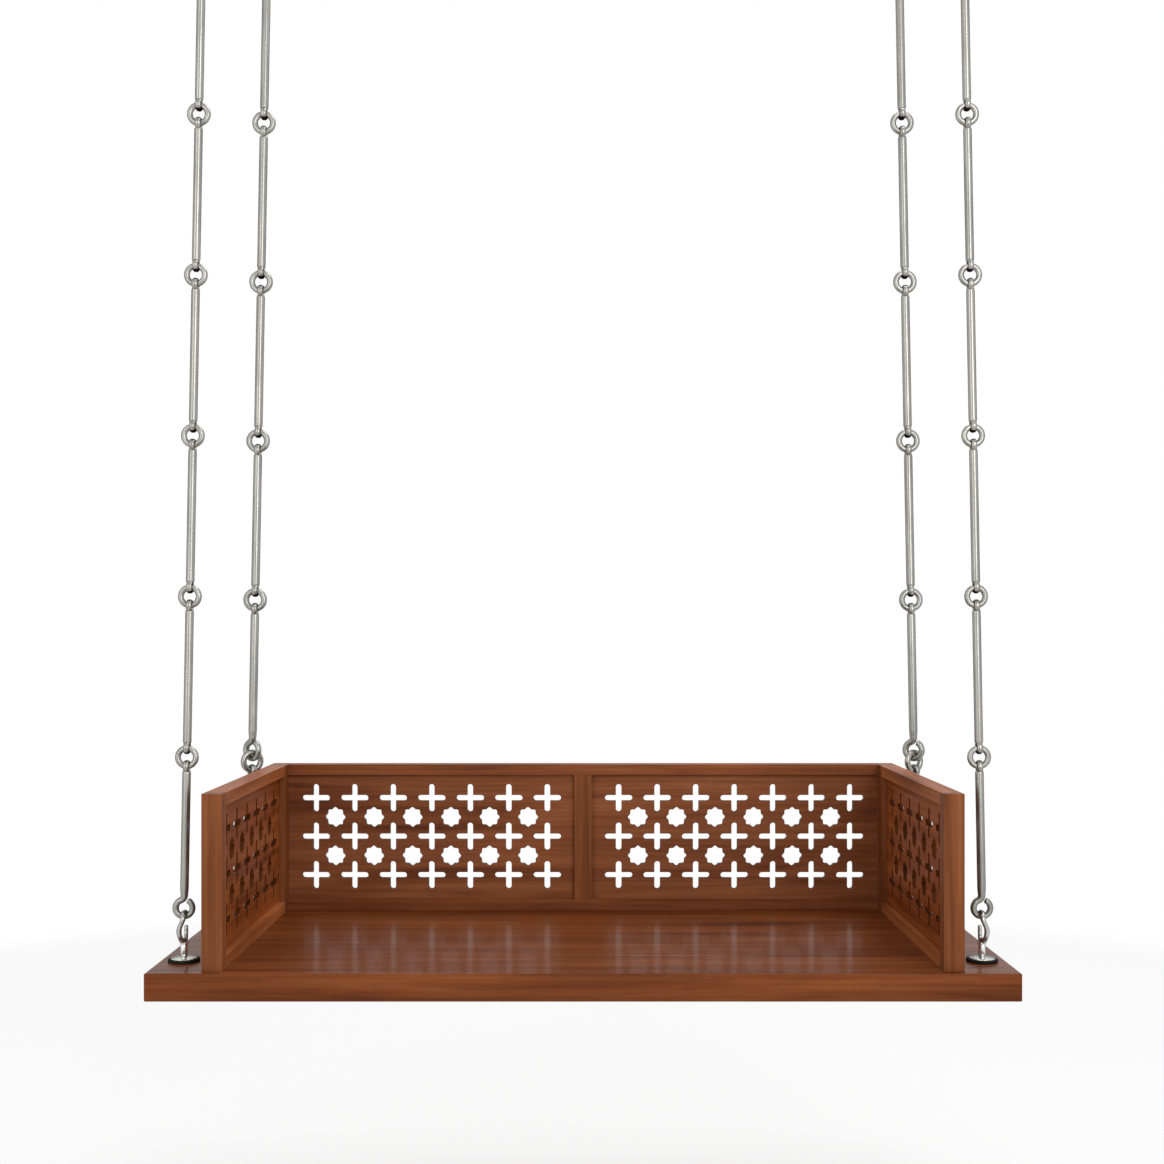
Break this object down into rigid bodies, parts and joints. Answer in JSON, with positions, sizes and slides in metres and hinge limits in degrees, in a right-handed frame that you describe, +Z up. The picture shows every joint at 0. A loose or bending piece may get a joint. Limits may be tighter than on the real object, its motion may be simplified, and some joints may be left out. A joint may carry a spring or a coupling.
{
  "type": "jhoola swing",
  "caption": "Indian jhoola swing: wooden bench with jaali-pierced arms and back, hung from the ceiling on four chains of steel rods and rings",
  "frame": {"origin": "centre of the four ceiling studs, in the ceiling plane", "axes": "+Z up, the front of the seat faces -Y, +X to the right seen from the front"},
  "size_m": [1.532, 0.732, 2.1939],
  "materials": {
    "seat_wood": "satin varnish",
    "frame_wood": "satin varnish",
    "fret_wood": "satin varnish",
    "chain_steel": "satin",
    "bright_steel": "polished",
    "screw_steel": "zinc",
    "pad_rubber": "matte"
  },
  "bodies": {
    "ceiling": {"ceiling_eyes": "bright_steel", "ceiling_flanges": "bright_steel"},
    "seat": {"seat_board": "seat_wood", "left_arm_stiles": "frame_wood", "left_arm_top_rail": "frame_wood", "left_arm_bottom_rail": "frame_wood", "left_arm_panel": "fret_wood", "right_arm_stiles": "frame_wood", "right_arm_top_rail": "frame_wood", "right_arm_bottom_rail": "frame_wood", "right_arm_panel": "fret_wood", "back_end_stiles": "frame_wood", "back_top_rail": "frame_wood", "back_bottom_rail": "frame_wood", "back_mullion": "frame_wood", "back_left_panel": "fret_wood", "back_right_panel": "fret_wood", "left_seat_hooks": "bright_steel", "right_seat_hooks": "bright_steel", "spacers": "bright_steel", "domed_discs": "bright_steel", "rubber_pads": "pad_rubber", "washers": "bright_steel", "nuts": "bright_steel", "seat_screws": "screw_steel"},
    "front_left_chain": {"front_left_top_rod": "chain_steel", "front_left_middle_rods": "chain_steel", "front_left_end_rod": "chain_steel"},
    "front_left_ring_1": {"front_left_ring_1": "chain_steel"},
    "front_left_ring_2": {"front_left_ring_2": "chain_steel"},
    "front_left_ring_3": {"front_left_ring_3": "chain_steel"},
    "front_left_ring_4": {"front_left_ring_4": "chain_steel"},
    "front_left_ring_5": {"front_left_ring_5": "chain_steel"},
    "front_right_chain": {"front_right_top_rod": "chain_steel", "front_right_middle_rods": "chain_steel", "front_right_end_rod": "chain_steel"},
    "front_right_ring_1": {"front_right_ring_1": "chain_steel"},
    "front_right_ring_2": {"front_right_ring_2": "chain_steel"},
    "front_right_ring_3": {"front_right_ring_3": "chain_steel"},
    "front_right_ring_4": {"front_right_ring_4": "chain_steel"},
    "front_right_ring_5": {"front_right_ring_5": "chain_steel"},
    "rear_left_chain": {"rear_left_top_rod": "chain_steel", "rear_left_middle_rods": "chain_steel", "rear_left_hook_rod": "chain_steel", "rear_left_end_rod": "chain_steel"},
    "rear_left_ring_1": {"rear_left_ring_1": "chain_steel"},
    "rear_left_ring_2": {"rear_left_ring_2": "chain_steel"},
    "rear_left_ring_3": {"rear_left_ring_3": "chain_steel"},
    "rear_left_ring_4": {"rear_left_ring_4": "chain_steel"},
    "rear_left_ring_5": {"rear_left_ring_5": "chain_steel"},
    "rear_right_chain": {"rear_right_top_rod": "chain_steel", "rear_right_middle_rods": "chain_steel", "rear_right_hook_rod": "chain_steel", "rear_right_end_rod": "chain_steel"},
    "rear_right_ring_1": {"rear_right_ring_1": "chain_steel"},
    "rear_right_ring_2": {"rear_right_ring_2": "chain_steel"},
    "rear_right_ring_3": {"rear_right_ring_3": "chain_steel"},
    "rear_right_ring_4": {"rear_right_ring_4": "chain_steel"},
    "rear_right_ring_5": {"rear_right_ring_5": "chain_steel"}
  },
  "joints": [
    {"name": "front_left_swing", "type": "hinge", "parent": "ceiling", "child": "front_left_chain", "pos_m": [-0.686, -0.27, -0.03345], "axis": [1, 0, 0], "range_deg": [-25, 25]},
    {"name": "front_left_ring_1_turn", "type": "hinge", "parent": "front_left_chain", "child": "front_left_ring_1", "pos_m": [-0.69526, -0.27, -0.54645], "axis": [0.0186, 0, 0.9998], "range_deg": [-12, 12]},
    {"name": "front_left_ring_2_turn", "type": "hinge", "parent": "front_left_chain", "child": "front_left_ring_2", "pos_m": [-0.70068, -0.27, -0.8374], "axis": [0.0186, 0, 0.9998], "range_deg": [-12, 12]},
    {"name": "front_left_ring_3_turn", "type": "hinge", "parent": "front_left_chain", "child": "front_left_ring_3", "pos_m": [-0.70609, -0.27, -1.12835], "axis": [0.0186, 0, 0.9998], "range_deg": [-12, 12]},
    {"name": "front_left_ring_4_turn", "type": "hinge", "parent": "front_left_chain", "child": "front_left_ring_4", "pos_m": [-0.71151, -0.27, -1.4193], "axis": [0.0186, 0, 0.9998], "range_deg": [-12, 12]},
    {"name": "front_left_ring_5_turn", "type": "hinge", "parent": "front_left_chain", "child": "front_left_ring_5", "pos_m": [-0.71692, -0.27, -1.71025], "axis": [0.0186, 0, 0.9998], "range_deg": [-12, 12]},
    {"name": "front_right_swing", "type": "hinge", "parent": "ceiling", "child": "front_right_chain", "pos_m": [0.686, -0.27, -0.03345], "axis": [1, 0, 0], "range_deg": [-25, 25]},
    {"name": "front_right_ring_1_turn", "type": "hinge", "parent": "front_right_chain", "child": "front_right_ring_1", "pos_m": [0.69526, -0.27, -0.54645], "axis": [-0.0186, 0, 0.9998], "range_deg": [-12, 12]},
    {"name": "front_right_ring_2_turn", "type": "hinge", "parent": "front_right_chain", "child": "front_right_ring_2", "pos_m": [0.70068, -0.27, -0.8374], "axis": [-0.0186, 0, 0.9998], "range_deg": [-12, 12]},
    {"name": "front_right_ring_3_turn", "type": "hinge", "parent": "front_right_chain", "child": "front_right_ring_3", "pos_m": [0.70609, -0.27, -1.12835], "axis": [-0.0186, 0, 0.9998], "range_deg": [-12, 12]},
    {"name": "front_right_ring_4_turn", "type": "hinge", "parent": "front_right_chain", "child": "front_right_ring_4", "pos_m": [0.71151, -0.27, -1.4193], "axis": [-0.0186, 0, 0.9998], "range_deg": [-12, 12]},
    {"name": "front_right_ring_5_turn", "type": "hinge", "parent": "front_right_chain", "child": "front_right_ring_5", "pos_m": [0.71692, -0.27, -1.71025], "axis": [-0.0186, 0, 0.9998], "range_deg": [-12, 12]},
    {"name": "rear_left_swing", "type": "hinge", "parent": "ceiling", "child": "rear_left_chain", "pos_m": [-0.686, 0.27, -0.03345], "axis": [1, 0, 0], "range_deg": [-25, 25]},
    {"name": "rear_left_ring_1_turn", "type": "hinge", "parent": "rear_left_chain", "child": "rear_left_ring_1", "pos_m": [-0.69215, 0.27, -0.37919], "axis": [0.0186, 0, 0.9998], "range_deg": [-12, 12]},
    {"name": "rear_left_ring_2_turn", "type": "hinge", "parent": "rear_left_chain", "child": "rear_left_ring_2", "pos_m": [-0.69857, 0.27, -0.72413], "axis": [0.0186, 0, 0.9998], "range_deg": [-12, 12]},
    {"name": "rear_left_ring_3_turn", "type": "hinge", "parent": "rear_left_chain", "child": "rear_left_ring_3", "pos_m": [-0.70499, 0.27, -1.06907], "axis": [0.0186, 0, 0.9998], "range_deg": [-12, 12]},
    {"name": "rear_left_ring_4_turn", "type": "hinge", "parent": "rear_left_chain", "child": "rear_left_ring_4", "pos_m": [-0.71141, 0.27, -1.41401], "axis": [0.0186, 0, 0.9998], "range_deg": [-12, 12]},
    {"name": "rear_left_ring_5_turn", "type": "hinge", "parent": "rear_left_chain", "child": "rear_left_ring_5", "pos_m": [-0.71793, 0.27, -1.76424], "axis": [0.0186, 0, 0.9998], "range_deg": [0, 12]},
    {"name": "rear_right_swing", "type": "hinge", "parent": "ceiling", "child": "rear_right_chain", "pos_m": [0.686, 0.27, -0.03345], "axis": [1, 0, 0], "range_deg": [-25, 25]},
    {"name": "rear_right_ring_1_turn", "type": "hinge", "parent": "rear_right_chain", "child": "rear_right_ring_1", "pos_m": [0.69215, 0.27, -0.37919], "axis": [-0.0186, 0, 0.9998], "range_deg": [-12, 12]},
    {"name": "rear_right_ring_2_turn", "type": "hinge", "parent": "rear_right_chain", "child": "rear_right_ring_2", "pos_m": [0.69857, 0.27, -0.72413], "axis": [-0.0186, 0, 0.9998], "range_deg": [-12, 12]},
    {"name": "rear_right_ring_3_turn", "type": "hinge", "parent": "rear_right_chain", "child": "rear_right_ring_3", "pos_m": [0.70499, 0.27, -1.06907], "axis": [-0.0186, 0, 0.9998], "range_deg": [-12, 12]},
    {"name": "rear_right_ring_4_turn", "type": "hinge", "parent": "rear_right_chain", "child": "rear_right_ring_4", "pos_m": [0.71141, 0.27, -1.41401], "axis": [-0.0186, 0, 0.9998], "range_deg": [-12, 12]},
    {"name": "rear_right_ring_5_turn", "type": "hinge", "parent": "rear_right_chain", "child": "rear_right_ring_5", "pos_m": [0.71793, 0.27, -1.76424], "axis": [-0.0186, 0, 0.9998], "range_deg": [0, 12]},
    {"name": "seat_level", "type": "hinge", "parent": "rear_left_chain", "child": "seat", "pos_m": [-0.722, 0.27, -1.99845], "axis": [1, 0, 0], "range_deg": [-25, 25]}
  ],
  "couplings": [
    {"joint": "front_left_swing", "follows": "rear_left_swing", "ratio": 1},
    {"joint": "front_right_swing", "follows": "rear_left_swing", "ratio": 1},
    {"joint": "rear_right_swing", "follows": "rear_left_swing", "ratio": 1},
    {"joint": "seat_level", "follows": "rear_left_swing", "ratio": -1}
  ]
}
